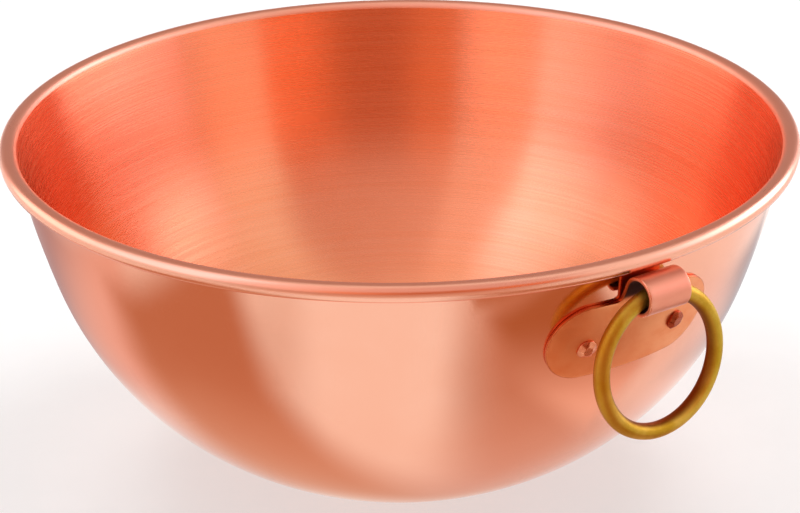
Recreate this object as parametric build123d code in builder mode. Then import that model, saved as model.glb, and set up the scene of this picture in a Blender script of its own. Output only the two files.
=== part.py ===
from build123d import *
import os
from math import acos, asin, atan2, cos, degrees, hypot, radians, sin, sqrt

# Copper beating bowl with a rolled rim and one loose ring on a riveted hanger.
# Origin at the centre of the flat base, +Z up, the hanger on the -Y side.

# Bowl: lengths in mm, turns and leans in degrees
rim_diameter = 260.0        # over the rolled rim
bowl_sheet = 1.2            # copper sheet of the bowl
bead_diameter = 5.6         # outside of the rolled rim
base_diameter = 50.0        # small flat that the bowl stands on
side_radius = 380.0         # outer face, nearly straight upper wall
side_lean = 10.5            # how far the wall leans out at the rim
side_turn = 6.2             # how much of the outline the upper wall turns
haunch_radius = 112.5       # outer face, round lower wall
haunch_turn = 42.0
curl_gap = 0.2              # between the end of the curl and the wall
wire_clearance = 0.05       # round the wire inside the curl

# Hanger: a riveted plate whose tongue is rolled into a barrel for the ring
hanger_sheet = 1.2
plate_length = 59.0
plate_height = 26.0
plate_seat = 0.05           # between the plate and the wall
tongue_width = 15.0
tongue_rise = 3.3           # from the plate's top edge up to the barrel's axis
barrel_diameter = 11.9      # outside of the barrel
barrel_reach = 3.5          # how far the barrel's axis stands out past the bead's centre
barrel_rim_gap = 1.2        # between the barrel and the rolled rim
barrel_end = -140.0         # direction from the barrel's axis to the tongue's end

# Ring
ring_diameter = 47.5        # outside
ring_wire = 4.9
ring_seat = 0.3             # between the ring and the floor of the barrel
ring_swing = 5.0            # how far the ring hangs away from upright at rest

# Rivets
rivet_spread = 32.8         # between the two rivets
rivet_drop = 1.5            # below the middle of the plate
shank_diameter = 3.6
shank_clearance = 0.05
outer_head_diameter = 6.0
outer_head_height = 1.5
inner_head_diameter = 6.6
inner_head_height = 1.1
head_edge = 0.35            # height of a head's straight rim
head_seat = 0.05            # under each head
overrun = 2.0               # how far a cutting or cut shape runs past what it cuts

# Worked out from the sizes above, heights from the rim's centre plane at first
bead_radius = bead_diameter / 2
bead_centre_radius = rim_diameter / 2 - bead_radius
base_radius = base_diameter / 2
curl_inner_radius = bead_radius - bowl_sheet


def normal_at(angle):
    """Outward normal of the wall in its section, angle in degrees below level."""
    return Vector(cos(radians(angle)), -sin(radians(angle)))


# Outline of the bowl's outer face: three arcs, each tangent to the next one.
# The last arc's radius is the one that ends level at the flat base.
side_end = side_lean + side_turn
haunch_end = side_end + haunch_turn
level = 90.0
wall_top = Vector(bead_centre_radius, 0) - normal_at(side_lean) * curl_inner_radius
side_centre = wall_top - normal_at(side_lean) * side_radius
haunch_centre = side_centre + normal_at(side_end) * (side_radius - haunch_radius)
corner_radius = haunch_radius + (haunch_centre.X - base_radius) / normal_at(haunch_end).X
corner_centre = haunch_centre + normal_at(haunch_end) * (haunch_radius - corner_radius)
rim_height = corner_radius - corner_centre.Y

# The same outline in heights above the base: centre, radius, first and last angle
lift = Vector(0, rim_height)
wall_arcs = [
    (side_centre + lift, side_radius, side_lean, side_end),
    (haunch_centre + lift, haunch_radius, side_end, haunch_end),
    (corner_centre + lift, corner_radius, haunch_end, level),
]
bead_centre = Vector(bead_centre_radius, rim_height)


def wall_point(height):
    """Point on the bowl's outer face at a height, and the angle of its normal."""
    for centre, radius, first, last in wall_arcs:
        angle = degrees(asin(min((centre.Y - height) / radius, 1)))
        if angle <= last:
            break
    return centre + normal_at(angle) * radius, angle


def arc_along(centre, radius, first, last):
    """Arc of the outline between two angles below level."""
    return CenterArc((centre.X, centre.Y), radius, -first, first - last)


# Barrel: its axis stands clear under the rolled rim
barrel_radius = barrel_diameter / 2
barrel_bore_radius = barrel_radius - hanger_sheet
barrel_span = bead_radius + barrel_radius + barrel_rim_gap
barrel_drop = sqrt(barrel_span**2 - barrel_reach**2)
barrel_centre = bead_centre + Vector(barrel_reach, -barrel_drop)

# Plate: its middle on the wall, with the frame that its outline is cut in
plate_top_height = barrel_centre.Y - tongue_rise
plate_middle, plate_angle = wall_point(plate_top_height - plate_height / 2)
plate_frame = Plane(
    origin=(0, -plate_middle.X, plate_middle.Y),
    x_dir=(1, 0, 0),
    z_dir=(0, -cos(radians(plate_angle)), -sin(radians(plate_angle))),
)
plate_turn = degrees(asin((plate_length / 2 + overrun) / plate_middle.X))
plate_sweep = 2 * plate_turn
front = -90.0               # direction of the hanger round the bowl

# Rivets: on the wall, to the left and right of the plate's middle
rivet_point, rivet_angle = wall_point(plate_middle.Y - rivet_drop)
rivet_turn = degrees(asin(rivet_spread / 2 / rivet_point.X))
shank_radius = shank_diameter / 2
hole_radius = shank_radius + shank_clearance
grip = bowl_sheet + plate_seat + hanger_sheet


def rivet_frame(turn):
    """Frame on the wall's outer face at a rivet, its Y axis along the rivet outwards."""
    around = radians(front + turn)
    out = Vector(cos(around), sin(around), 0)
    axis = out * cos(radians(rivet_angle)) - Vector(0, 0, sin(radians(rivet_angle)))
    side = Vector(-sin(around), cos(around), 0)
    place = out * rivet_point.X + Vector(0, 0, rivet_point.Y)
    return Plane(origin=place, x_dir=side, z_dir=side.cross(axis))


rivet_frames = [rivet_frame(turn) for turn in (-rivet_turn, rivet_turn)]
hole_frames = [Plane(f.origin, x_dir=f.x_dir, z_dir=f.y_dir) for f in rivet_frames]

# Bowl: one revolved sheet, its edge curled outwards round the rim's wire
curl_open = degrees(acos((curl_inner_radius - curl_gap) / bead_radius))
curl_start = 180.0 - side_lean
curl_turn = curl_open - 360.0
with BuildPart() as bowl:
    with BuildSketch(Plane.XZ):
        with BuildLine():
            outer = [arc_along(c, r, a, b) for c, r, a, b in wall_arcs]
            Line(outer[-1] @ 1, (0, 0))
            Line((0, 0), (0, bowl_sheet))
            inner = [arc_along(c, r - bowl_sheet, a, b) for c, r, a, b in wall_arcs]
            Line((0, bowl_sheet), inner[-1] @ 1)
            bead = (bead_centre.X, bead_centre.Y)
            curl_outside = CenterArc(bead, bead_radius, curl_start, curl_turn)
            curl_inside = CenterArc(bead, curl_inner_radius, curl_start, curl_turn)
            Line(curl_outside @ 1, curl_inside @ 1)
        make_face()
    revolve(axis=Axis.Z)
    with BuildSketch(*hole_frames):
        Circle(hole_radius)
    extrude(amount=2 * grip, both=True, mode=Mode.SUBTRACT)
bowl.part.label = "bowl"

# Rim wire: it fills the curl and keeps the rim round
with BuildPart(Plane.XY.offset(rim_height)) as rim_wire:
    Torus(bead_centre_radius, curl_inner_radius - wire_clearance)
rim_wire.part.label = "rim_wire"

# Hanger: the plate follows the wall, the tongue leaves its top edge for the barrel
hanger_section = Plane(origin=(0, 0, 0), x_dir=(0, -1, 0), z_dir=(-1, 0, 0))
start_turn = radians(front - plate_turn)
plate_start = Plane(
    origin=(0, 0, 0),
    x_dir=(cos(start_turn), sin(start_turn), 0),
    z_dir=(sin(start_turn), -cos(start_turn), 0),
)
plate_inside = plate_seat
plate_outside = plate_seat + hanger_sheet
root_height = plate_top_height - hanger_sheet
root_wall, root_angle = wall_point(root_height)
root = root_wall + normal_at(root_angle) * (plate_seat + hanger_sheet / 2)
root_wall_low, root_angle_low = wall_point(root_height - 2 * hanger_sheet)
root_low = root_wall_low + normal_at(root_angle_low) * (plate_seat + hanger_sheet / 2)
barrel_mid_radius = barrel_radius - hanger_sheet / 2
to_barrel = barrel_centre - root
root_distance = hypot(to_barrel.X, to_barrel.Y)
leg_angle = atan2(to_barrel.Y, to_barrel.X) + asin(barrel_mid_radius / root_distance)
leg_length = sqrt(root_distance**2 - barrel_mid_radius**2)
leg_along = Vector(cos(leg_angle), sin(leg_angle))
leg_across = Vector(-sin(leg_angle), cos(leg_angle))
leg_top = root + leg_along * leg_length
barrel_start = degrees(leg_angle) + 90
barrel_turn = barrel_end - barrel_start


def strip(start, end):
    """Corners of a straight piece of the sheet's section round its middle line."""
    along = (end - start).normalized()
    across = Vector(-along.Y, along.X) * (hanger_sheet / 2)
    corners = [start + across, end + across, end - across, start - across]
    return [(corner.X, corner.Y) for corner in corners]


with BuildPart() as hanger:
    with BuildSketch(plate_start):
        with BuildLine():
            backs = [arc_along(c, r + plate_inside, a, b) for c, r, a, b in wall_arcs]
            faces = [arc_along(c, r + plate_outside, a, b) for c, r, a, b in wall_arcs]
            Line(backs[0] @ 0, faces[0] @ 0)
            Line(backs[-1] @ 1, faces[-1] @ 1)
        make_face()
    revolve(axis=Axis.Z, revolution_arc=plate_sweep)
    with BuildSketch(plate_frame):
        SlotOverall(plate_length, plate_height)
    extrude(amount=plate_height, both=True, mode=Mode.INTERSECT)
    with BuildSketch(hanger_section):
        for start, end in ((root_low, root), (root, leg_top)):
            with BuildLine():
                Polyline(strip(start, end), close=True)
            make_face()
        with Locations((root.X, root.Y)):
            Circle(hanger_sheet / 2)
        with BuildLine():
            hub = (barrel_centre.X, barrel_centre.Y)
            rolled_outside = CenterArc(hub, barrel_radius, barrel_start, barrel_turn)
            rolled_inside = CenterArc(hub, barrel_bore_radius, barrel_start, barrel_turn)
            Line(rolled_outside @ 0, rolled_inside @ 0)
            Line(rolled_outside @ 1, rolled_inside @ 1)
        make_face()
    extrude(amount=tongue_width / 2, both=True)
    with BuildSketch(*hole_frames):
        Circle(hole_radius)
    extrude(amount=2 * grip, both=True, mode=Mode.SUBTRACT)
hanger.part.label = "hanger"

# Ring: the wire's highest and lowest edge inside the barrel fix the hinge and its place
ring_radius = (ring_diameter - ring_wire) / 2
wire_radius = ring_wire / 2
wire_high = ring_radius + wire_radius
wire_low = sqrt((ring_radius - wire_radius)**2 - (tongue_width / 2)**2)
hinge_to_ring = (wire_high + wire_low) / 2
wire_reach = (wire_high - wire_low) / 2
hinge_centre = barrel_centre - Vector(0, barrel_bore_radius - wire_reach - ring_seat)
swing = radians(ring_swing)
ring_centre = hinge_centre + Vector(sin(swing), -cos(swing)) * hinge_to_ring
ring_frame = Plane(
    origin=(0, -ring_centre.X, ring_centre.Y),
    x_dir=(1, 0, 0),
    z_dir=(0, -cos(swing), sin(swing)),
)
with BuildPart(ring_frame) as ring:
    Torus(ring_radius, wire_radius)
ring.part.label = "ring"

# Rivets: a domed head outside the plate, a lower one inside the bowl
outer_seat = plate_outside + head_seat
inner_seat = -bowl_sheet - head_seat
outer_head_radius = outer_head_diameter / 2
inner_head_radius = inner_head_diameter / 2
outer_top = outer_seat + outer_head_height
inner_top = inner_seat - inner_head_height
rivet_profile = [
    (0, inner_top),
    (inner_head_radius, inner_seat - head_edge),
    (inner_head_radius, inner_seat),
    (shank_radius, inner_seat),
    (shank_radius, outer_seat),
    (outer_head_radius, outer_seat),
    (outer_head_radius, outer_seat + head_edge),
    (0, outer_top),
]
with BuildPart() as rivets:
    for frame in rivet_frames:
        with BuildSketch(frame):
            with BuildLine():
                TangentArc(rivet_profile[0], rivet_profile[1], tangent=(1, 0))
                Polyline(rivet_profile[1:-1])
                TangentArc(rivet_profile[-1], rivet_profile[-2], tangent=(1, 0))
                Line(rivet_profile[-1], rivet_profile[0])
            make_face()
        revolve(axis=Axis(frame.origin, frame.y_dir))
rivets.part.label = "rivets"

os.makedirs("parts", exist_ok=True)
export_step(bowl.part, "parts/bowl.step")
export_step(rim_wire.part, "parts/rim_wire.step")
export_step(hanger.part, "parts/hanger.step")
export_step(ring.part, "parts/ring.step")
export_step(rivets.part, "parts/rivets.step")

print("corner radius", corner_radius, "rim height", rim_height)
print("overall height", rim_height + bead_radius)
print("ring hinge", hinge_centre, "ring centre", ring_centre)
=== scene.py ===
"""Looks of a copper beating bowl with a loose brass ring in a riveted hanger."""
from math import acos, asin, atan2, ceil, cos, degrees, pi, radians, sin, sqrt
import bpy
import numpy as np
from mathutils import Matrix, Vector


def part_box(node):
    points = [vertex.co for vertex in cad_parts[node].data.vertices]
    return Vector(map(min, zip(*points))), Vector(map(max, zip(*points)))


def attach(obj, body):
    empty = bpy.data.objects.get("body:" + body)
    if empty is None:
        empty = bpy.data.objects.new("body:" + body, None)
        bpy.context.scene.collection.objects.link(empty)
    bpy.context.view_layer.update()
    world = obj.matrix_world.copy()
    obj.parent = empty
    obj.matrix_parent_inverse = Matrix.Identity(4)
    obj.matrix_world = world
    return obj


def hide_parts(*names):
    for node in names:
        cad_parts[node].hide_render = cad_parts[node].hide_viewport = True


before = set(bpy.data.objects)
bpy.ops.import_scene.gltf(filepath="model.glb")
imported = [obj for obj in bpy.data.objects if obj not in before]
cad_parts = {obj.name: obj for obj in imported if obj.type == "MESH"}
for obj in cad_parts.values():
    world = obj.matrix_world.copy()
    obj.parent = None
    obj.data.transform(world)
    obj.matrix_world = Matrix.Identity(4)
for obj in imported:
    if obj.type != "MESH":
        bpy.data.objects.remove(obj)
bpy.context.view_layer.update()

mm = 0.001
tiny = 0.001 * mm

# Bowl sheet and outline: three arcs of the outer face, angles in degrees below level
sheet = 1.2 * mm
bead_radius = 2.8 * mm
base_radius = 25.0 * mm
side_radius = 380.0 * mm
side_lean = 10.5
side_turn = 6.2
haunch_radius = 112.5 * mm
haunch_turn = 42.0
curl_gap = 0.2 * mm
level = 90.0

# Hanger
plate_length = 59.0 * mm
plate_height = 26.0 * mm
plate_seat = 0.05 * mm
tongue_width = 15.0 * mm
tongue_rise = 3.3 * mm
barrel_radius = 5.95 * mm
barrel_end = -140.0
root_flare = 1.1 * mm  # rounded corner between the plate's top edge and the tongue
edge_round = 0.35 * mm  # worn round edge of the sheet
fade_rise = 4.0 * mm  # height in which the tongue loses the wall's curve

# Ring and rivets
wire_radius = 2.45 * mm
ring_lean = 5.0
rivet_spread = 32.8 * mm
rivet_drop = 1.5 * mm
shank_radius = 1.8 * mm
outer_head_radius = 3.0 * mm
outer_head_height = 1.5 * mm
inner_head_radius = 3.3 * mm
inner_head_height = 1.1 * mm
head_seat = 0.05 * mm
head_edge = 0.35 * mm

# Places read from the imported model
bowl_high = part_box("bowl")[1]
rim_radius = bowl_high.x
rim_height = bowl_high.z - bead_radius
bead_ring = rim_radius - bead_radius
curl_radius = bead_radius - sheet
hanger_low, hanger_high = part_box("hanger")
barrel_reach = -hanger_low.y - barrel_radius
barrel_height = hanger_high.z - barrel_radius
ring_low, ring_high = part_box("ring")
ring_centre = np.array((ring_low + ring_high) / 2)
ring_radius = ring_high.x - wire_radius


# Outline of the bowl

join = np.concatenate


def stacked(*parts):
    """Arrays of one shape side by side, on a new last axis."""
    return np.stack(parts, axis=-1)


def normal_at(angle):
    """Outward direction in (radius, height) at an angle below level, in degrees."""
    turn = np.radians(angle)
    return stacked(np.cos(turn), -np.sin(turn))


def outline_arcs():
    """Centre, radius, first and last angle of the three arcs, each tangent to the next one.

    The last arc ends level at the edge of the flat base, which fixes its radius.
    """
    side_end = side_lean + side_turn
    haunch_end = side_end + haunch_turn
    bead = np.array([bead_ring, rim_height])
    wall_top = bead - normal_at(side_lean) * curl_radius
    side = wall_top - normal_at(side_lean) * side_radius
    haunch = side + normal_at(side_end) * (side_radius - haunch_radius)
    corner_radius = haunch_radius + (haunch[0] - base_radius) / normal_at(haunch_end)[0]
    corner = haunch + normal_at(haunch_end) * (haunch_radius - corner_radius)
    return [
        (side, side_radius, side_lean, side_end),
        (haunch, haunch_radius, side_end, haunch_end),
        (corner, corner_radius, haunch_end, level),
    ]


arcs = outline_arcs()


def off_wall(points):
    """Distance of points from the bowl's outer face, and the face's outward normal there."""
    around = np.hypot(points[..., 0], points[..., 1])
    section = stacked(around, points[..., 2])
    gaps, normals, angles = [], [], []
    for centre, radius, first, last in arcs:
        away = section - centre
        length = np.linalg.norm(away, axis=-1)
        gaps.append(length - radius)
        normals.append(away / length[..., None])
        angles.append(np.degrees(np.arctan2(-away[..., 1], away[..., 0])))
    on_side = angles[0] <= arcs[0][3]
    on_haunch = angles[1] <= arcs[1][3]
    gap = np.select([on_side, on_haunch], gaps[:2], gaps[2])
    lean = np.select([on_side[..., None], on_haunch[..., None]], normals[:2], normals[2])
    out = points[..., :2] / around[..., None]
    normal = join([out * lean[..., :1], lean[..., 1:]], axis=-1)
    return gap, normal


def wall_point(height):
    """Point of the outline at a height, in (radius, height), and its angle below level."""
    for centre, radius, first, last in arcs:
        angle = degrees(asin(min((centre[1] - height) / radius, 1.0)))
        if angle <= last:
            break
    return centre + normal_at(angle) * radius, angle


# Meshes

def whole_turn(count):
    """Angles of a whole turn, in even steps from 0."""
    return np.linspace(0.0, 2 * pi, count, endpoint=False)


def revolved(radius, turn, height):
    """Points (r cos t, r sin t, z) of rows of radius and height about Z."""
    return stacked(radius * np.cos(turn), radius * np.sin(turn), height + 0 * turn)


def leaned(angle):
    """Upward and outward directions in the plane of X = 0, leaned by an angle in degrees."""
    lean = radians(angle)
    return np.array([0.0, sin(lean), cos(lean)]), np.array([0.0, -cos(lean), sin(lean)])


def grid_triangles(rows, columns, closed=True):
    """Triangles of a grid of rows by columns, whose columns close into a ring if asked."""
    last = columns if closed else columns - 1
    row, column = np.meshgrid(np.arange(rows - 1), np.arange(last), indexing="ij")
    beside = (column + 1) % columns
    a = row * columns + column
    b = row * columns + beside
    c = (row + 1) * columns + beside
    d = (row + 1) * columns + column
    halves = [stacked(a, b, c), stacked(a, c, d)]
    return join([half.reshape(-1, 3) for half in halves])


def revolved_triangles(rows, columns):
    """Triangles of a closed surface: a pole, rows of a ring of columns, and the other pole."""
    column = np.arange(columns)
    beside = (column + 1) % columns
    last_row = 1 + (rows - 1) * columns
    pole = np.full_like(column, 1 + rows * columns)
    first = stacked(np.zeros_like(column), beside + 1, column + 1)
    last = stacked(last_row + column, last_row + beside, pole)
    return join([first, grid_triangles(rows, columns) + 1, last])


def outward(points, triangles):
    """The triangles turned so that the closed surface holds a positive volume."""
    a, b, c = (points[triangles[:, i]] for i in range(3))
    volume = np.einsum("ij,ij->", a, np.cross(b, c))
    return triangles if volume > 0 else triangles[:, ::-1]


def new_object(name, points, triangles, marks=None):
    """A smooth mesh object at the origin; marks holds a value per vertex under each name."""
    mesh = bpy.data.meshes.new(name)
    mesh.vertices.add(len(points))
    mesh.vertices.foreach_set("co", np.ascontiguousarray(points, np.float32).ravel())
    mesh.loops.add(triangles.size)
    corners = np.ascontiguousarray(triangles, np.int32).ravel()
    mesh.loops.foreach_set("vertex_index", corners)
    mesh.polygons.add(len(triangles))
    mesh.polygons.foreach_set("loop_start", np.arange(len(triangles), dtype=np.int32) * 3)
    mesh.update(calc_edges=True)
    mesh.polygons.foreach_set("use_smooth", np.ones(len(triangles), bool))
    for mark, values in (marks or {}).items():
        attribute = mesh.attributes.new(mark, "FLOAT", "POINT")
        attribute.data.foreach_set("value", np.ascontiguousarray(values, np.float32))
    mesh.validate()
    item = bpy.data.objects.new(name, mesh)
    bpy.context.scene.collection.objects.link(item)
    return item


def make_piece(name, points, triangles, body, replaced, materials, marks=None):
    """A closed piece of the object that rides on a body and stands for a CAD node."""
    piece = new_object(name, points, outward(points, triangles), marks)
    for material in materials:
        piece.data.materials.append(material)
    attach(piece, body)
    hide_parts(replaced)
    return piece


def drift(points, sizes, seed):
    """Uneven field of about -1 to 1: the mean of sine waves of given sizes in random directions."""
    random = np.random.default_rng(seed)
    total = np.zeros(points.shape[:-1])
    for size in sizes:
        way = random.normal(size=3)
        way = way / np.linalg.norm(way)
        start = random.uniform(0, 2 * pi)
        total = total + np.sin(points @ way * (2 * pi / size) + start)
    return total / len(sizes)


# Bowl

wall_step = 2.0 * mm
curl_step = 0.36 * mm
pole_radius = 2.0 * mm
flat_rows = 7
tip_rows = 7
bowl_turns = 360
sway = 0.04 * mm  # how far the spun wall strays from true
sway_sizes = np.array([62, 83, 97, 120]) * mm
sway_seed = 4
calm_rim = 20 * mm  # depths under the rim and over the base in which the sway grows
calm_base = 15 * mm


def arc_rows(centre, radius, first, last, step):
    """Points of an arc in (radius, height) between two angles below level, about a step apart."""
    count = max(3, ceil(abs(radians(last - first)) * radius / step) + 1)
    return centre + normal_at(np.linspace(first, last, count)) * radius


def bowl_section():
    """The sheet's section in (radius, height), from under the base round to the floor inside.

    The outer arcs run up into the curl's inside, a half round closes the curl's end, and the
    curl's outside runs back over the rim into the inner arcs. The last value counts the rows
    before the inner arcs.
    """
    bead = np.array([bead_ring, rim_height])
    curl_open = degrees(acos((curl_radius - curl_gap) / bead_radius))
    start = side_lean - 180.0
    end = start + 360.0 - curl_open
    flat = stacked(np.linspace(pole_radius, base_radius, flat_rows), np.zeros(flat_rows))
    outer = [arc_rows(c, r, last, first, wall_step) for c, r, first, last in reversed(arcs)]
    inside = arc_rows(bead, curl_radius, start, end, curl_step)
    outside = arc_rows(bead, bead_radius, end, start, curl_step)
    inner = [arc_rows(c, r - sheet, first, last, wall_step) for c, r, first, last in arcs]
    turn = np.linspace(0.0, pi, tip_rows)[1:-1, None]
    middle = (inside[-1] + outside[0]) / 2
    across = (inside[-1] - outside[0]) / 2
    ahead = np.array([across[1], -across[0]])
    tip = middle + across * np.cos(turn) + ahead * np.sin(turn)
    before = join([flat[:-1], outer[0], outer[1][1:], outer[2][1:], inside[1:], tip, outside])
    floor = flat[::-1][1:] + [0.0, sheet]
    after = join([inner[0][1:], inner[1][1:], inner[2][1:], floor])
    return join([before, after]), len(before)


def make_bowl():
    """Surface of revolution of the sheet's section about Z: (r cos t, r sin t, z).

    Both poles are single points, and a slow drift of sine waves moves wall and floor along the
    radius, so that reflections wander as they do in spun copper.
    """
    section, rim_rows = bowl_section()
    height = section[:, 1:]
    points = revolved(section[:, :1], whole_turn(bowl_turns), height)
    calm = np.clip((rim_height - height) / calm_rim, 0, 1) * np.clip(height / calm_base, 0, 1)
    stray = drift(points, sway_sizes, sway_seed) * sway * calm
    points[..., :2] *= 1 + stray[..., None] / rim_radius
    poles = np.array([[0.0, 0.0, 0.0], [0.0, 0.0, sheet]])
    points = join([poles[:1], points.reshape(-1, 3), poles[1:]])
    steps = np.linalg.norm(np.diff(section, axis=0), axis=1)
    along = join([[pole_radius], pole_radius + np.cumsum(steps)])
    along = join([[0.0], np.repeat(along, bowl_turns), [along[-1] + pole_radius]])
    triangles = revolved_triangles(len(section), bowl_turns)
    piece = make_piece("bowl_spun", points, triangles, "bowl", "bowl",
                       [polished_copper(), brushed_copper()], {"along": along})
    first_inside = 1 + rim_rows * bowl_turns
    corners = np.zeros(len(piece.data.loops), np.int32)
    piece.data.loops.foreach_get("vertex_index", corners)
    inside = corners.reshape(-1, 3).min(axis=1) >= first_inside - bowl_turns
    piece.data.polygons.foreach_set("material_index", inside.astype(np.int32))


# Hanger

end_columns = 48
tongue_columns = 20
plate_rows = 12
leg_step = 0.9 * mm
barrel_step = 5.0
bend_rounds = 8
bare_columns = 9  # columns of the plate's top edge beside the tongue
root_shares = np.array([0.15, 0.4, 0.7, 1.0])
half_round = plate_height / 2
half_straight = (plate_length - plate_height) / 2
root_half = tongue_width / 2 + root_flare
round_insets = edge_round * (1 - np.cos(np.radians([0, 22.5, 45, 67.5, 90])))


def plate_place():
    """Origin on the wall and the upward and outward directions of the plate's frame."""
    top = barrel_height - tongue_rise
    (radius, height), angle = wall_point(top - half_round)
    return np.array([0.0, -radius, height]), *leaned(-angle)


def on_plate(flat):
    """Middle of the plate's sheet over flat places (x, up), and its outward normal.

    A place moves along the plate's outward direction until it lies half a sheet and the seat
    off the wall's outer face.
    """
    origin, up, out = plate_place()
    base = origin + flat[:, :1] * np.array([1.0, 0.0, 0.0]) + flat[:, 1:] * up
    lift = np.zeros(len(flat))
    for bend_round in range(bend_rounds):
        gap, normal = off_wall(base + lift[:, None] * out)
        lift = lift - (gap - plate_seat - sheet / 2) / (normal @ out)
    points = base + lift[:, None] * out
    return points, off_wall(points)[1]


def tongue_section():
    """Middle line of the tongue in (radius, height) as a function of its length, and its end.

    A straight leg leaves the plate's top edge, touches the barrel's middle circle, and follows
    it clockwise to the barrel's end.
    """
    root = on_plate(np.array([[0.0, half_round]]))[0][0]
    root = np.array([-root[1], root[2]])
    centre = np.array([barrel_reach, barrel_height])
    radius = barrel_radius - sheet / 2
    toward = centre - root
    distance = np.linalg.norm(toward)
    leg_turn = atan2(toward[1], toward[0]) + asin(radius / distance)
    leg = sqrt(distance**2 - radius**2)
    sweep = leg_turn + pi / 2 - radians(barrel_end)
    end = leg + radius * sweep

    def place(length):
        rolled = np.maximum(length - leg, 0.0) / radius
        straight = np.minimum(length, leg)[:, None] * [cos(leg_turn), sin(leg_turn)]
        heading = leg_turn - rolled
        circle = stacked(np.cos(heading + pi / 2), np.sin(heading + pi / 2))
        points = np.where((length > leg)[:, None], centre + circle * radius, root + straight)
        return points, stacked(np.sin(heading), -np.cos(heading))

    return place, leg, end


def fade(value):
    """Smooth step from 0 to 1."""
    value = np.clip(value, 0.0, 1.0)
    return value * value * (3 - 2 * value)


def tongue_half(rise):
    """Half the tongue's width at a height over the plate's edge; quarter rounds widen its root."""
    short = np.clip(1 - rise / root_flare, 0, 1)
    return tongue_width / 2 + root_flare * (1 - np.sqrt(1 - short**2))


def hanger_pattern(end, leg):
    """Flat places (x, up) and triangles of the whole cut sheet, before it is bent.

    The plate is rings round its straight spine, out to a stadium's edge. The tongue is a grid
    that carries on from the middle columns of the top edge.
    """
    fine = root_half - round_insets
    bare = np.linspace(half_straight, root_half, bare_columns)[:-1]
    middle = np.linspace(fine[-1], -fine[-1], tongue_columns)[1:-1]
    top = join([bare, fine, middle, -fine[::-1], -bare[::-1]])
    turn = np.linspace(0.5, 1.5, end_columns)[1:-1] * pi
    low = top[::-1]
    side = np.full(len(turn), half_straight)
    spine = join([top, -side, low, side])
    heading = join([np.full(len(top), pi / 2), turn, np.full(len(low), 1.5 * pi), turn + pi])
    inner = np.linspace(0, half_round - edge_round, plate_rows)[:-1]
    reach = join([inner, half_round - round_insets[::-1]])
    x = spine + reach[:, None] * np.cos(heading)
    up = reach[:, None] * np.sin(heading)
    plate = stacked(x, up).reshape(-1, 2)
    plate_faces = grid_triangles(len(reach), len(spine))

    row_x = join([fine, middle, -fine[::-1]])
    leg_rows = np.linspace(0, leg, ceil(leg / leg_step) + 1)
    roll = end - leg - edge_round
    roll_step = radians(barrel_step) * barrel_radius
    roll_rows = leg + np.linspace(0, roll, ceil(roll / roll_step) + 1)
    rise = np.unique(join([leg_rows, root_flare * root_shares, roll_rows, end - round_insets]))
    half = tongue_half(rise)[:, None]
    inner = row_x * (half - edge_round) / fine[-1]
    outer = np.sign(row_x) * (half - (root_half - np.abs(row_x)))
    tongue_x = np.where(np.abs(row_x) >= fine[-1] - tiny, outer, inner)
    tongue = stacked(tongue_x, half_round + rise[:, None] + 0 * row_x).reshape(-1, 2)
    tongue_faces = grid_triangles(len(rise), len(row_x), closed=False)[:, ::-1]
    flat = join([plate, tongue])
    faces = join([plate_faces, tongue_faces + len(plate)])
    keys = np.round(flat / tiny).astype(np.int64)
    kept, index = np.unique(keys, axis=0, return_index=True, return_inverse=True)[1:]
    faces = index.reshape(-1)[faces]
    a, b, c = faces.T
    return flat[kept], faces[(a != b) & (b != c) & (c != a)]


def inset_of(flat, end):
    """Distance of flat places from the cut sheet's edge, measured inwards."""
    x, up = np.abs(flat[:, 0]), flat[:, 1]
    rise = up - half_round
    corner = np.hypot(np.maximum(root_half - x, 0), -np.minimum(rise, 0))
    straight = np.minimum(half_round + up, corner)
    rounded = half_round - np.hypot(x - half_straight, up)
    plate = np.where(x > half_straight, rounded, straight)
    tongue = np.minimum(tongue_half(rise) - x, end - rise)
    return np.maximum(np.where(rise > tiny, tongue, plate), 0.0)


def make_hanger():
    """The cut sheet bent into place: plate on the wall, leg, and barrel, with worn round edges.

    Both faces are the middle surface moved half a thickness along its normal. The thickness
    falls off as a quarter round within the worn edge, and a band joins the faces there.
    """
    place, leg, end = tongue_section()
    flat, faces = hanger_pattern(end, leg)
    rise = flat[:, 1] - half_round
    bent = rise > 0
    plate_flat = stacked(flat[:, 0], np.minimum(flat[:, 1], half_round))
    points, normals = on_plate(plate_flat)
    root = on_plate(np.array([[0.0, half_round]]))[0]
    section, across = place(np.maximum(rise, 0.0))
    straight = stacked(flat[:, 0], -section[:, 0], section[:, 1])
    tongue_normal = stacked(0 * rise, -across[:, 0], across[:, 1])
    lost = fade(rise / fade_rise)[:, None]
    curve = points - root - stacked(flat[:, 0], 0 * rise, 0 * rise)
    points = np.where(bent[:, None], straight + curve * (1 - lost), points)
    mixed = normals * (1 - lost) + tongue_normal * lost
    normals = np.where(bent[:, None], mixed, normals)
    normals = normals / np.linalg.norm(normals, axis=1, keepdims=True)
    inset = inset_of(flat, end)
    worn = np.clip(edge_round - inset, 0, edge_round)
    thick = sheet / 2 - edge_round + np.sqrt(edge_round**2 - worn**2)
    front = points + normals * thick[:, None]
    back = points - normals * thick[:, None]
    count = len(points)
    pairs = join([faces[:, [0, 1]], faces[:, [1, 2]], faces[:, [2, 0]]])
    forward = pairs[:, 0] * count + pairs[:, 1]
    reverse = pairs[:, 1] * count + pairs[:, 0]
    a, b = pairs[~np.isin(forward, reverse)].T
    band = join([stacked(b, a, a + count), stacked(b, a + count, b + count)])
    triangles = join([faces, faces[:, ::-1] + count, band])
    # share of painted shade: the leg's outer face and the barrel's inside, growing from just above
    # the plate
    within = join([fade(rise / (2 * root_flare)), 0 * rise])
    marks = {"inset": np.tile(inset, 2), "within": within}
    make_piece("hanger_bent", join([front, back]), triangles, "bowl", "hanger",
               [satin_copper()], marks)


# Ring

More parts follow.
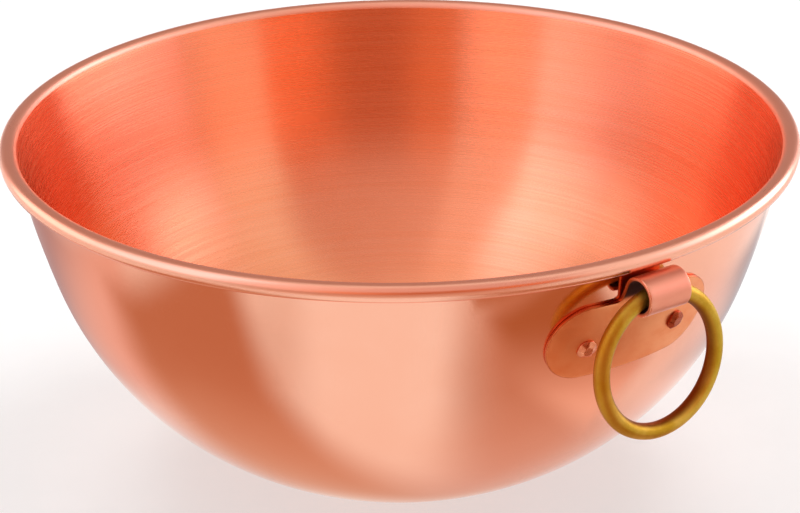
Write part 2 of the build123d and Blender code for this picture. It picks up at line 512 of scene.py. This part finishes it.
ring_turns = 288
wire_turns = 56
ring_sway = 0.06 * mm
ring_sway_sizes = np.array([9, 14, 22, 31]) * mm
ring_seed = 9


def make_ring():
    """Torus ((R + r cos v) sin u, (R + r cos v) cos u, r sin v), tilted outwards about its centre.

    A drift of sine waves scales the wire's radius, which gives an uneven cast skin.
    """
    turn = whole_turn(ring_turns)[:, None]
    wire = whole_turn(wire_turns)
    reach = ring_radius + wire_radius * np.cos(wire)
    proud = wire_radius * np.sin(wire) + 0 * turn
    local = stacked(reach * np.sin(turn), reach * np.cos(turn), proud)
    middle = stacked(ring_radius * np.sin(turn), ring_radius * np.cos(turn), 0 * turn)
    swell = 1 + drift(local, ring_sway_sizes, ring_seed) * ring_sway / wire_radius
    local = middle + (local - middle) * swell[..., None]
    points = ring_centre + local @ np.array([[1.0, 0.0, 0.0], *leaned(ring_lean)])
    inner = np.tile(-np.cos(wire), ring_turns)
    # the grid's last row is its first one again
    triangles = grid_triangles(ring_turns + 1, wire_turns) % (ring_turns * wire_turns)
    make_piece("ring_cast", points.reshape(-1, 3), triangles, "ring", "ring",
               [cast_brass()], {"inner": inner})


# Rivets

rivet_turns = 96
head_rows = 26
facet_count = 7
facet_soft = 0.035 * mm
facet_lean = (0.45, 0.95)  # slopes of the hammered facets
facet_start = (0.38, 0.62)  # where they begin, as shares of the head's radius
facet_stray = 0.3  # how far they turn from even places, as a share of one place
top_tilt = 0.06
least_height = 0.8 * head_edge
head_waves = ((2, 0.035), (5, 0.03))  # waves round the head, and their depth
wave_start = (0, 6)
head_swell = 0.04 * mm
side_shares = np.array([0.1, 0.3, 0.6, 0.85, 1.0])[:, None]
tip_share = 0.04
dome_rows = 12
dome_tip = 0.06


def hammered_height(x, y, random):
    """Height of a hammered head over its seat: the soft least of a top facet and leaning ones.

    A leaning facet falls by its slope from where it begins. The soft least of heights h is
    minus s times the logarithm of the sum of exp(-h / s).
    """
    heights = [outer_head_height * (1 - top_tilt * (x + y) / outer_head_radius)]
    for index in range(facet_count):
        stray = random.uniform(-facet_stray, facet_stray)
        way = 2 * pi * (index + stray) / facet_count
        slope = random.uniform(*facet_lean)
        begin = random.uniform(*facet_start) * outer_head_radius
        along = x * cos(way) + y * sin(way)
        heights.append(outer_head_height - slope * (along - begin))
    least = -facet_soft * np.log(sum(np.exp(-h / facet_soft) for h in heights))
    return np.maximum(least, least_height)


def rivet_place(side):
    """Origin on the wall's outer face, and the directions across, along and out of a rivet."""
    middle = barrel_height - tongue_rise - half_round
    (radius, height), angle = wall_point(wall_point(middle)[0][1] - rivet_drop)
    turn = radians(-90.0) + side * asin(rivet_spread / 2 / radius)
    level_out = np.array([cos(turn), sin(turn), 0.0])
    lean = radians(angle)
    out = level_out * cos(lean) - np.array([0.0, 0.0, sin(lean)])
    across = np.array([-sin(turn), cos(turn), 0.0])
    return level_out * radius + [0.0, 0.0, height], across, np.cross(out, across), out


def make_rivet(name, side, seed, tarnish):
    """Revolved rivet, (r cos t, r sin t, z) on the wall's normal, from its tip to its inner head.

    The outer head is hammered and a little out of round, by sine waves of t. A shank goes
    through plate and wall, and the inner head is half of an ellipse.
    """
    random = np.random.default_rng(seed)
    outer_seat = plate_seat + sheet + head_seat
    inner_seat = -sheet - head_seat
    turn = whole_turn(rivet_turns)
    wobble = 1
    for count, depth in head_waves:
        wobble = wobble + depth * np.sin(count * turn + random.uniform(*wave_start))
    reach = np.linspace(tip_share, 1, head_rows)[:, None] * outer_head_radius * wobble
    head = outer_seat + hammered_height(reach * np.cos(turn), reach * np.sin(turn), random)
    drop = head[-1]
    swell = np.sin(side_shares * pi) * head_swell
    edge_reach = outer_head_radius * wobble + swell
    edge_height = drop + (outer_seat - drop) * side_shares
    dome = np.linspace(pi / 2, dome_tip, dome_rows)[:, None]
    stem_reach = np.repeat([shank_radius, inner_head_radius], 2)[:, None]
    stem_end = inner_seat - head_edge / 2
    stem_height = np.array([outer_seat, inner_seat, inner_seat, stem_end])[:, None]
    dome_reach = inner_head_radius * np.sin(dome)
    dome_height = inner_seat - head_edge - (inner_head_height - head_edge) * np.cos(dome)
    reach = join([reach, edge_reach, stem_reach + 0 * turn, dome_reach + 0 * turn])
    height = join([head, edge_height, stem_height + 0 * turn, dome_height + 0 * turn])
    origin, across, along, out = rivet_place(side)
    points = origin + revolved(reach, turn, height) @ np.array([across, along, out])
    tip = origin + out * head[0].mean()
    bottom = origin + out * (inner_seat - inner_head_height)
    points = join([tip[None], points.reshape(-1, 3), bottom[None]])
    triangles = revolved_triangles(len(reach), rivet_turns)
    material = hammered_copper(name + "_copper", tarnish)
    make_piece(name, points, triangles, "bowl", "rivets", [material])


# Shader nodes

def feed(tree, node, inputs):
    """Sets or links a node's inputs by name or number; a colour gets its alpha of 1."""
    for name, value in inputs.items():
        socket = node.inputs[name]
        if isinstance(value, bpy.types.NodeSocket):
            tree.links.new(value, socket)
        elif socket.type == "RGBA":
            socket.default_value = (*value, 1.0)
        else:
            socket.default_value = value


def add_node(tree, kind, inputs=None, **settings):
    """Adds a shader node, sets its options and feeds its inputs."""
    node = tree.nodes.new("ShaderNode" + kind)
    for name, value in settings.items():
        setattr(node, name, value)
    feed(tree, node, inputs or {})
    return node


def calculate(tree, operation, *values):
    """Output of a Math node on values or sockets."""
    return add_node(tree, "Math", dict(enumerate(values)), operation=operation).outputs[0]


def times(tree, first, second):
    """Product of two values or sockets."""
    return calculate(tree, "MULTIPLY", first, second)


def plus_times(tree, first, second, added):
    """First times second, plus a third value or socket."""
    return calculate(tree, "MULTIPLY_ADD", first, second, added)


def blend_colors(tree, share, first, second):
    """Output of a colour mix of two colours by a share."""
    inputs = {"Factor": share, 6: first, 7: second}
    return add_node(tree, "Mix", inputs, data_type="RGBA").outputs[2]


def spread(tree, value, source, target=(0.0, 1.0)):
    """A value taken from a source range to a target range by a smooth step, held at both ends."""
    inputs = {"Value": value, "From Min": source[0], "From Max": source[1],
              "To Min": target[0], "To Max": target[1]}
    return add_node(tree, "MapRange", inputs, interpolation_type="SMOOTHSTEP").outputs[0]


def noise(tree, place, scale, detail=2.0, rough=0.5, warp=0.0):
    """Value of a Noise texture at a place; scale counts its grains per metre."""
    inputs = {"Vector": place, "Scale": scale, "Detail": detail, "Roughness": rough,
              "Distortion": warp}
    return add_node(tree, "TexNoise", inputs).outputs[0]


def vector_math(tree, operation, inputs):
    """Outputs of a Vector Math node."""
    return add_node(tree, "VectorMath", inputs, operation=operation).outputs


def level_part(tree, place, operation):
    """Outputs of a Vector Math node on a place without its height."""
    flat = vector_math(tree, "MULTIPLY", {0: place, 1: (1.0, 1.0, 0.0)})[0]
    return vector_math(tree, operation, {0: flat})


socket_kinds = {"Place": "Vector", "Clean": "Color", "Handled": "Color", "Color": "Color"}


def new_group(name, inputs, outputs):
    """A node group with inputs and outputs of these labels; returns it with its two ends."""
    tree = bpy.data.node_groups.new(name, "ShaderNodeTree")
    for way, labels in (("INPUT", inputs), ("OUTPUT", outputs)):
        for label in labels:
            kind = "NodeSocket" + socket_kinds.get(label, "Float")
            tree.interface.new_socket(label, in_out=way, socket_type=kind)
    return tree, tree.nodes.new("NodeGroupInput"), tree.nodes.new("NodeGroupOutput")


def spun_marks_group():
    """Marks that run round the axis: noise at (direction round it, length up the sheet).

    The direction is scaled by Around and the length by Fineness, so the marks are long and thin.
    """
    labels = ["Place", "Along", "Around", "Fineness"]
    tree, given, made = new_group("spun_marks", labels, ["Height"])
    unit = level_part(tree, given.outputs["Place"], "NORMALIZE")[0]
    ring = vector_math(tree, "SCALE", {0: unit, "Scale": given.outputs["Around"]})[0]
    climb = times(tree, given.outputs["Along"], given.outputs["Fineness"])
    lifted = add_node(tree, "CombineXYZ", {"Z": climb}).outputs[0]
    place = vector_math(tree, "ADD", {0: ring, 1: lifted})[0]
    feed(tree, made, {"Height": noise(tree, place, 1.0, detail=3.0, rough=0.6)})
    return tree


def patina_group():
    """Clouds of a size in metres, which turn a metal's clean colour into its handled one."""
    labels = ["Place", "Size", "Amount", "Clean", "Handled"]
    tree, given, made = new_group("patina", labels, ["Color", "Mask"])
    scale = calculate(tree, "DIVIDE", 1.0, given.outputs["Size"])
    cloud = noise(tree, given.outputs["Place"], scale, detail=4.0, rough=0.55, warp=0.4)
    mask = times(tree, spread(tree, cloud, (0.35, 0.7)), given.outputs["Amount"])
    tint = blend_colors(tree, mask, given.outputs["Clean"], given.outputs["Handled"])
    feed(tree, made, {"Color": tint, "Mask": mask})
    return tree


def hand_marks_group():
    """Fine scratches: the product of two noises, each turned and stretched along its own way."""
    tree, given, made = new_group("hand_marks", ["Place", "Size"], ["Height"])
    scale = calculate(tree, "DIVIDE", 1.0, given.outputs["Size"])
    layers = []
    for turn, stretch in ((0.5, 0.09), (2.2, 0.13)):
        inputs = {"Vector": given.outputs["Place"], "Rotation": (turn, 0.4 * turn, turn),
                  "Scale": (stretch, 1.0, 1.0)}
        bent = add_node(tree, "Mapping", inputs)
        layers.append(noise(tree, bent.outputs[0], scale, detail=3.0, rough=0.65))
    feed(tree, made, {"Height": times(tree, *layers)})
    return tree


groups = {
    "spun_marks": spun_marks_group(),
    "patina": patina_group(),
    "hand_marks": hand_marks_group(),
}


def use_group(tree, name, inputs):
    """Places a node group with its inputs; returns its outputs."""
    return add_node(tree, "Group", inputs, node_tree=groups[name]).outputs


def new_metal(name, **constants):
    """A material with a fully metallic Principled shader; returns it, its tree and its shader."""
    material = bpy.data.materials.new(name)
    material.use_nodes = True
    tree = material.node_tree
    shader = tree.nodes["Principled BSDF"]
    shader.inputs["Metallic"].default_value = 1.0
    for label, value in constants.items():
        shader.inputs[label.replace("_", " ")].default_value = value
    return material, tree, shader


def object_place(tree):
    """Object coordinates."""
    return add_node(tree, "TexCoord").outputs["Object"]


def attribute(tree, name):
    """A vertex attribute's value."""
    return add_node(tree, "Attribute", attribute_name=name).outputs["Fac"]


def raise_surface(tree, shader, height, depth):
    """Bump of a height of 0 to 1 over a real depth, into the shader's normal."""
    bump = add_node(tree, "Bump", {"Height": height, "Strength": 1.0, "Distance": depth})
    feed(tree, shader, {"Normal": bump.outputs[0]})


def patina(tree, place, clean, handled, size, amount):
    """Outputs of the patina group."""
    return use_group(tree, "patina", {"Place": place, "Size": size, "Amount": amount,
                                      "Clean": clean, "Handled": handled})


def spun_marks(tree, place, around, fineness):
    """Height of the spun marks."""
    return use_group(tree, "spun_marks", {"Place": place, "Along": attribute(tree, "along"),
                                          "Around": around, "Fineness": fineness})["Height"]


def hand_marks(tree, place, size):
    """Height of the hand marks."""
    return use_group(tree, "hand_marks", {"Place": place, "Size": size})["Height"]


def scratch(tree, shader, place, size, roughness, depth):
    """Hand marks of a size that set the roughness, between two values, and the bump."""
    marks = hand_marks(tree, place, size)
    feed(tree, shader, {"Roughness": spread(tree, marks, mark_range, roughness)})
    raise_surface(tree, shader, marks, depth)


# Materials

copper = (0.96, 0.46, 0.31)
copper_handled = (0.93, 0.40, 0.25)
copper_brushed = (0.96, 0.385, 0.212)
copper_warm = (0.95, 0.345, 0.168)
copper_deep = (0.93, 0.30, 0.125)
copper_dark = (0.34, 0.045, 0.01)
brass_red = (0.46, 0.13, 0.004)
brass_olive = (0.44, 0.29, 0.008)
brass_painted_reflection = (0.20, 0.035, 0.005)
copper_shade_within = (0.08, 0.015, 0.006)
copper_edge_shade = (0.50, 0.09, 0.02)
copper_rubbed_highlight = (0.88, 0.34, 0.20)
copper_satin = (0.91, 0.345, 0.145)
copper_soiled = (0.84, 0.23, 0.06)
copper_roll_sheen = (0.81, 0.31, 0.215)
copper_rivet = (0.86, 0.30, 0.15)
brass = (0.64, 0.40, 0.06)
brass_soiled = (0.48, 0.26, 0.01)
steel = (0.52, 0.52, 0.53)
steel_dull = (0.34, 0.33, 0.33)

# Roughness of each finish, where its marks are low and where they are high
polished_rough = (0.07, 0.11)
rubbed_rough = (0.2, 0.38)
brushed_rough = (0.24, 0.29)
satin_rough = (0.34, 0.39)
hammered_rough = (0.22, 0.38)
cast_rough = (0.42, 0.56)
drawn_rough = (0.3, 0.45)

# How much of the metal's tint another one covers
streak_share = 0.25
roll_sheen_share = 0.8
shade_within_share = 0.96
edge_wear_and_shade_share = 0.85
drift_share = 0.6
inner_reflection_share = 0.85

# Depths of the bumps, and ranges of the marks
polish_depth = 0.0006 * mm
brush_depth = 0.0012 * mm
satin_depth = 0.0004 * mm
hammer_depth = 0.03 * mm
cast_depth = 0.03 * mm
drawn_depth = 0.01 * mm
edge_tint_least = 0.1 * mm  # width of the hanger's edge band, which is worn and carries painted shade and highlight: from this, up by the spread
edge_tint_spread = 0.4 * mm
mark_range = (0.15, 0.4)  # usual low and high of the hand marks' height
mid_range = (0.3, 0.7)  # usual low and high of a noise


def polished_copper():
    """Polished outside and rim: nearly a mirror, with faint spinning marks and haze.

    The bead is rubbed duller than the wall, and most on its inner side.
    """
    material, tree, shader = new_metal("polished_copper")
    place = object_place(tree)
    look = patina(tree, place, copper, copper_handled, size=60 * mm, amount=0.5)
    spun = spun_marks(tree, place, around=9.0, fineness=1400.0)
    haze = plus_times(tree, look["Mask"], 0.05, spread(tree, spun, (0.35, 0.75), polished_rough))
    up = add_node(tree, "SeparateXYZ", {0: place}).outputs[2]
    away = level_part(tree, place, "LENGTH")["Value"]
    on_bead = spread(tree, up, (rim_height - bead_radius, rim_height))
    bead_inner = rim_radius - 1.9 * bead_radius
    rubbed = spread(tree, away, (bead_ring, bead_inner), rubbed_rough)
    dull = plus_times(tree, on_bead, rubbed, haze)
    feed(tree, shader, {"Base Color": look["Color"], "Roughness": dull})
    raise_surface(tree, shader, spun, polish_depth)
    return material


def brushed_copper():
    """Brushed inside: fine marks round the axis, which draw highlights out up the wall."""
    material, tree, shader = new_metal("brushed_copper", Anisotropic=0.88, Anisotropic_Rotation=0.25)
    place = object_place(tree)
    look = patina(tree, place, copper_brushed, copper_warm, size=50 * mm, amount=0.5)
    broad = spun_marks(tree, place, around=0.8, fineness=450.0)
    fine = spun_marks(tree, place, around=1.3, fineness=1900.0)
    streak = times(tree, spread(tree, broad, mid_range), streak_share)
    tint = blend_colors(tree, streak, look["Color"], copper_deep)
    dull = spread(tree, fine, mid_range, brushed_rough)
    around = add_node(tree, "Tangent", direction_type="RADIAL", axis="Z").outputs[0]
    feed(tree, shader, {"Base Color": tint, "Roughness": dull, "Tangent": around})
    height = calculate(tree, "ADD", times(tree, broad, 0.6), times(tree, fine, 0.4))
    raise_surface(tree, shader, height, brush_depth)
    return material


def satin_copper():
    """Hanger sheet: satin and redder than the bowl, with a painted pale sheen on the roll and
    painted shade on the leg and inside the roll.

    Its worn edges carry painted dark red shade on the plate and a painted highlight on the roll.
    """
    material, tree, shader = new_metal("satin_copper")
    place = object_place(tree)
    look = patina(tree, place, copper_satin, copper_soiled, size=12 * mm, amount=0.65)
    marks = hand_marks(tree, place, 1.2 * mm)
    broken = noise(tree, place, 900.0, detail=3.0, rough=0.6)
    wide = plus_times(tree, broken, edge_tint_spread, edge_tint_least)
    inset = calculate(tree, "DIVIDE", attribute(tree, "inset"), wide)
    worn = calculate(tree, "SUBTRACT", 1.0, spread(tree, inset, (0.5, 1.5)))
    within = attribute(tree, "within")
    toward = add_node(tree, "SeparateXYZ", {0: place}).outputs[1]
    rolled = spread(tree, toward, (barrel_radius * 0.6 - barrel_reach, -barrel_reach))
    # painted pale sheen over the roll
    tint = blend_colors(tree, times(tree, rolled, roll_sheen_share), look["Color"], copper_roll_sheen)
    # painted shade on the leg's outer face and inside the roll
    tint = blend_colors(tree, times(tree, within, shade_within_share), tint, copper_shade_within)
    # edge band: painted dark red shade on the plate's edges, and a rubbed edge with a painted
    # highlight on the roll
    edge = blend_colors(tree, rolled, copper_edge_shade, copper_rubbed_highlight)
    tint = blend_colors(tree, times(tree, worn, edge_wear_and_shade_share), tint, edge)
    dull = plus_times(tree, look["Mask"], 0.1, spread(tree, marks, mark_range, satin_rough))
    dull = plus_times(tree, worn, -0.1, plus_times(tree, within, 0.35, dull))
    feed(tree, shader, {"Base Color": tint, "Roughness": dull})
    raise_surface(tree, shader, marks, satin_depth)
    return material


def hammered_copper(name, tarnish):
    """Rivets: red copper with clouds of dark tarnish, over a share of the whole head."""
    material, tree, shader = new_metal(name)
    place = object_place(tree)
    look = patina(tree, place, copper_rivet, copper_dark, size=2.2 * mm, amount=0.3 + 0.7 * tarnish)
    feed(tree, shader, {"Base Color": blend_colors(tree, tarnish, look["Color"], copper_dark)})
    scratch(tree, shader, place, 0.8 * mm, hammered_rough, hammer_depth)
    return material


def cast_brass():
    """Cast ring: satin brass that drifts from olive to red gold, with fine casting pits and a
    painted dark red reflection of the bowl on the wire's inner side.
    """
    material, tree, shader = new_metal("cast_brass")
    place = object_place(tree)
    look = patina(tree, place, brass, brass_soiled, size=11 * mm, amount=0.9)
    side = add_node(tree, "SeparateXYZ", {0: place}).outputs[0]
    tint = look["Color"]
    for way, drifted in ((-ring_radius, brass_red), (ring_radius, brass_olive)):
        share = spread(tree, side, (0.6 * way, 1.1 * way), (0.0, drift_share))
        tint = blend_colors(tree, share, tint, drifted)
    # painted dark red reflection of the bowl on the inner side of the wire
    tarnish = spread(tree, attribute(tree, "inner"), (0.45, 0.95), (0.0, inner_reflection_share))
    tint = blend_colors(tree, tarnish, tint, brass_painted_reflection)
    pits = noise(tree, place, 1500.0, detail=4.0, rough=0.6)
    soft = noise(tree, place, 260.0)
    dull = spread(tree, pits, mid_range, cast_rough)
    feed(tree, shader, {"Base Color": tint, "Roughness": dull})
    height = plus_times(tree, pits, 0.35, times(tree, soft, 0.65))
    raise_surface(tree, shader, height, cast_depth)
    return material


def drawn_steel():
    """Rim wire: grey drawn steel with fine marks."""
    material, tree, shader = new_metal("drawn_steel")
    place = object_place(tree)
    look = patina(tree, place, steel, steel_dull, size=8 * mm, amount=0.8)
    feed(tree, shader, {"Base Color": look["Color"]})
    scratch(tree, shader, place, 0.9 * mm, drawn_rough, drawn_depth)
    return material


def dress_wire():
    """The rim wire's own solid, seen only through the slit of the curl, gets its steel."""
    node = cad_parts["rim_wire"]
    node.data.materials.clear()
    node.data.materials.append(drawn_steel())


# Studio: azimuths in degrees from the camera's side towards the picture's right

camera_side = -124.0  # direction of the camera round the bowl
camera_distance = 699.6 * mm
camera_rise = 21.034
camera_pitch = 24.544
camera_yaw = -0.022
camera_roll = 0.668
focal_share = 2122.1 / 800  # focal length as a share of the picture's width
sensor = 36.0
near_clip = 0.01
far_clip = 50.0
floor_rings = np.array([0.05, 0.12, 0.25, 0.5, 1.0, 2.0, 3.0])[:, None]
floor_turns = 128
floor_drop = 0.05 * mm
floor_glow = 0.55
floor_grey = 0.44
floor_grain = 0.01  # how far the grain strays from the grey
air_fill = 0.4
card_columns = 33
card_rows = 33


def studio_way(azimuth, elevation):
    """Unit direction in the bowl's frame."""
    turn, rise = radians(camera_side + azimuth), radians(elevation)
    return Vector((cos(turn) * cos(rise), sin(turn) * cos(rise), sin(rise)))


def make_camera():
    """Camera at the photo's place, from a fit of the rim's ellipse, the outline and the hanger."""
    yaw, pitch, roll = (radians(a) for a in (camera_yaw, camera_pitch, camera_roll))
    level_share = cos(pitch)
    ahead = Vector((sin(yaw) * level_share, cos(yaw) * level_share, -sin(pitch)))
    right = Vector((cos(yaw), -sin(yaw), 0.0))
    down = ahead.cross(right)
    turned_right = right * cos(roll) + down * sin(roll)
    turned_down = down * cos(roll) - right * sin(roll)
    basis = Matrix((turned_right, -turned_down, -ahead)).transposed()
    swing = Matrix.Rotation(radians(camera_side + 90.0), 3, "Z")
    rise = radians(camera_rise)
    back, up = cos(rise) * camera_distance, sin(rise) * camera_distance
    place = Vector((0.0, -back, rim_height + up))
    data = bpy.data.cameras.new("camera")
    data.sensor_width = sensor
    data.lens = sensor * focal_share
    camera = bpy.data.objects.new("camera", data)
    camera.matrix_world = Matrix.Translation(swing @ place) @ (swing @ basis).to_4x4()
    data.clip_start, data.clip_end = near_clip, far_clip
    bpy.context.scene.collection.objects.link(camera)
    bpy.context.scene.camera = camera


def seen_directly(tree):
    """Share of rays that come from the camera, a mirror or glass."""
    path = add_node(tree, "LightPath").outputs
    either = calculate(tree, "MAXIMUM", path["Is Camera Ray"], path["Is Glossy Ray"])
    return calculate(tree, "MAXIMUM", either, path["Is Transmission Ray"])


def empty_material(name):
    """A material with no nodes, and its tree."""
    material = bpy.data.materials.new(name)
    material.use_nodes = True
    material.node_tree.nodes.clear()
    return material, material.node_tree


def mix_surface(tree, share, first, second):
    """Mixes two shaders by a share into the material's surface."""
    mix = add_node(tree, "MixShader", {0: share, 1: first, 2: second})
    add_node(tree, "OutputMaterial", {"Surface": mix.outputs[0]})


def make_floor():
    """Wide round floor: rings of growing radius about the bowl's axis, clear from below."""
    points = revolved(floor_rings, whole_turn(floor_turns), 0 * floor_rings - floor_drop)
    points = join([[[0.0, 0.0, -floor_drop]], points.reshape(-1, 3)])
    column = np.arange(floor_turns)
    fan = stacked(0 * column, column + 1, (column + 1) % floor_turns + 1)
    bands = grid_triangles(len(floor_rings), floor_turns)[:, ::-1] + 1
    floor = new_object("floor", points, join([fan, bands]))
    material, tree = empty_material("pale_floor")
    grain = noise(tree, object_place(tree), 30.0, detail=3.0)
    greys = (floor_grey - floor_grain, floor_grey + floor_grain)
    tint = spread(tree, grain, mid_range, greys)
    matte = add_node(tree, "BsdfDiffuse", {"Color": tint})
    strength = times(tree, seen_directly(tree), floor_glow)
    glow = add_node(tree, "Emission", {"Strength": strength})
    both = add_node(tree, "AddShader", {0: matte.outputs[0], 1: glow.outputs[0]})
    clear = add_node(tree, "BsdfTransparent")
    back = add_node(tree, "NewGeometry").outputs["Backfacing"]
    mix_surface(tree, back, both.outputs[0], clear.outputs[0])
    floor.data.materials.append(material)


def make_world():
    """Even pale air: white where it is seen, in metal too, and a dimmer fill on the floor."""
    world = bpy.data.worlds.new("studio")
    bpy.context.scene.world = world
    world.use_nodes = True
    tree = world.node_tree
    tree.nodes.clear()
    strength = plus_times(tree, seen_directly(tree), 1.0 - air_fill, air_fill)
    background = add_node(tree, "Background", {"Color": (1.0, 1.0, 1.0), "Strength": strength})
    add_node(tree, "OutputWorld", {"Surface": background.outputs[0]})


def make_glow(name, points, shown, near, tints):
    """A card that only metal sees: a grid of points that glows and fades out at its edges.

    Its glow is the first tint where near is 0, and the last one where near is 1.
    """
    rows, columns = shown.shape
    card = new_object(name, points.reshape(-1, 3), grid_triangles(rows, columns, closed=False),
                      {"shown": shown.ravel(), "near": near.ravel()})
    material, tree = empty_material(name)
    clear = add_node(tree, "BsdfTransparent")
    tint = blend_colors(tree, attribute(tree, "near"), tints[0], tints[-1])
    glow = add_node(tree, "Emission", {"Color": tint, "Strength": 1.0})
    mix_surface(tree, attribute(tree, "shown"), clear.outputs[0], glow.outputs[0])
    card.data.materials.append(material)
    card.visible_camera = False
    card.visible_diffuse = False
    card.visible_shadow = False


def make_panel(name, distance, azimuths, elevations, soft, tints):
    """Panel of a sphere round the bowl: distance times (cos a cos e, sin a cos e, sin e).

    The tint goes evenly from the first azimuth to the last one.
    """
    turn = np.linspace(*azimuths, card_columns)
    rise = np.linspace(*elevations, card_rows)[:, None]
    angle, height = np.radians(camera_side + turn), np.radians(rise)
    points = distance * stacked(np.cos(angle) * np.cos(height), np.sin(angle) * np.cos(height),
                                np.sin(height) + 0 * angle)
    within = np.minimum(np.minimum(turn - azimuths[0], azimuths[1] - turn) / soft[0],
                        np.minimum(rise - elevations[0], elevations[1] - rise) / soft[1])
    ahead = (turn - azimuths[0]) / (azimuths[1] - azimuths[0]) + 0 * within
    make_glow(name, points, fade(within), ahead, tints)


def make_floor_card(name, lift, corners, soft, middle, reach, tints):
    """Card flat on the floor, a blend of four corners in (right, towards the camera), in mm.

    The tint goes from the first to the last one between two distances from a middle point.
    """
    right, toward = np.array(studio_way(90.0, 0.0)), np.array(studio_way(0.0, 0.0))
    a, b, c, d = ((right * x + toward * y) * mm for x, y in corners)
    across = np.linspace(0.0, 1.0, card_columns)[:, None]
    ahead = np.linspace(0.0, 1.0, card_rows)[:, None, None]
    points = (a * (1 - across) + b * across) * (1 - ahead) + (d * (1 - across) + c * across) * ahead
    wide = np.linalg.norm(points[:, -1] - points[:, 0], axis=-1)[:, None]
    long = np.linalg.norm(points[-1] - points[0], axis=-1)
    across, ahead = across[:, 0], ahead[:, :, 0]
    within = np.minimum(np.minimum(across, 1 - across) * wide, np.minimum(ahead, 1 - ahead) * long)
    away = np.linalg.norm(points - (right * middle[0] + toward * middle[1]) * mm, axis=-1) / mm
    far = fade((away - reach[0]) / (reach[1] - reach[0]))
    make_glow(name, points + [0.0, 0.0, lift], fade(within / (soft * mm)), far, tints)


# Panels glow only for the metal; the copper-red ones paint a warm reflection of copper into it.
panels = {
    # distance, azimuths, elevations, soft edges, one tint or those at the first and last azimuth
    "camera_side": (2.5, (-22, 47), (8, 84), (2.5, 6), ((0.84, 0.62, 0.61), (0.72, 0.52, 0.51))),
    "camera_side_low": (
        2.4, (-22, 48), (5, 30), (2.5, 4), ((1.02, 0.34, 0.09), (0.74, 0.18, 0.03))),
    "camera_high": (2.45, (30, 59), (36, 84), (2.5, 6), ((0.72, 0.52, 0.51),)),
    "camera_gap": (2.3, (-11, 27), (5, 31), (14, 4), ((0.50, 0.12, 0.01),)),
    "camera_level": (2.35, (-50, 60), (-8, 9), (6, 3), ((0.57, 0.36, 0.305),)),
    "left_of_camera": (2.6, (-50.5, -18), (-4, 84), (2.5, 6), ((1.04, 0.84, 0.84),)),
    "left_softbox": (2.7, (-92, -46), (6, 66), (4, 6), ((1.5, 1.45, 1.75), (1.95, 1.85, 2.3))),
    "left_wall_light": (2.6, (-130, -86), (-2, 36), (3, 6), ((2.6, 2.1, 2.1), (1.7, 1.6, 1.8))),
    "right_wall_light": (2.7, (74, 132), (-2, 36), (3, 8), ((1.1, 1.0, 1.25), (5.4, 5.3, 6.3))),
    "behind": (2.8, (100, 260), (-4, 78), (12, 6), ((0.49, 0.36, 0.335),)),
}

# These cards paint light and shade on the floor that only the metal shows: the front card is a
# painted pool of light, and all the others are painted shade.
floor_cards = {
    # lift, corners, soft edge, middle of the tints, distances between which they change, tints
    "front_card": (
        0.2 * mm, ((-40, 28), (40, 28), (70, 300), (-140, 300)), 40,
        (0, 0), (60, 160), ((1.0, 0.96, 0.93), (1.03, 1.11, 1.16))),
    "far_card": (
        0.1 * mm, ((-300, 285), (240, 285), (1500, 2300), (-1600, 2300)), 50,
        (0, 0), (300, 900), ((0.74, 0.52, 0.42), (0.62, 0.42, 0.36))),
    "hanger_card": (
        0.5 * mm, ((72, 62), (150, 55), (190, 205), (60, 205)), 24,
        (0, 0), (120, 205), ((0.95, 0.72, 0.63), (0.45, 0.185, 0.08))),
    "fringe_card": (
        0.55 * mm, ((56, 203), (120, 190), (150, 320), (56, 320)), 12,
        (0, 0), (100, 300), ((0.54, 0.27, 0.16),)),
    "left_dark_card": (
        0.4 * mm, ((83, 44), (-228, 14), (-215, 232), (-185, 230)), 50,
        (0, 0), (70, 190), ((0.74, 0.50, 0.38), (0.56, 0.28, 0.17))),
    "right_dark_card": (
        0.45 * mm, ((-30, 28), (94, 28), (226, 270), (52, 270)), 60,
        (0, 0), (80, 190), ((0.74, 0.51, 0.43), (0.60, 0.34, 0.24))),
    "left_grey_card": (
        0.3 * mm, ((-92, 92), (-270, 92), (-262, -200), (-92, -200)), 44,
        (-180, 60), (40, 170), ((0.90, 0.67, 0.62), (0.50, 0.36, 0.36))),
    "right_grey_card": (
        0.3 * mm, ((114, 50), (220, 30), (220, -160), (98, -160)), 38,
        (200, 20), (20, 110), ((0.96, 0.94, 0.97), (0.56, 0.57, 0.61))),
}

lamps = {
    # azimuth, elevation, distance, width, height, power share of the open floor
    "back_right_lamp": (140.0, 56.0, 1.3, 0.5, 0.5, 0.42),
    "back_left_lamp": (-130.0, 56.0, 1.3, 0.5, 0.5, 0.30),
}


def make_lamps():
    """Area lamps that face the bowl; each gives the open floor its share of a white page's light."""
    for name, (azimuth, elevation, distance, width, height, share) in lamps.items():
        data = bpy.data.lights.new(name, "AREA")
        data.shape = "RECTANGLE"
        data.size, data.size_y = width, height
        data.energy = share * pi**2 * distance**2 / sin(radians(elevation))
        lamp = bpy.data.objects.new(name, data)
        way = studio_way(azimuth, elevation)
        lamp.location = Vector((0.0, 0.0, rim_height / 2)) + way * distance
        lamp.rotation_mode = "QUATERNION"
        lamp.rotation_quaternion = way.to_track_quat("Z", "Y")
        lamp.visible_glossy = False
        bpy.context.scene.collection.objects.link(lamp)


make_camera()
make_floor()
make_world()
for name, facts in panels.items():
    make_panel(name, *facts)
for name, facts in floor_cards.items():
    make_floor_card(name, *facts)
make_lamps()
make_bowl()
make_hanger()
make_ring()
make_rivet("rivet_left", side=-1, seed=11, tarnish=0.05)
make_rivet("rivet_right", side=1, seed=23, tarnish=0.85)
dress_wire()
bpy.context.scene.view_settings.view_transform = "Standard"
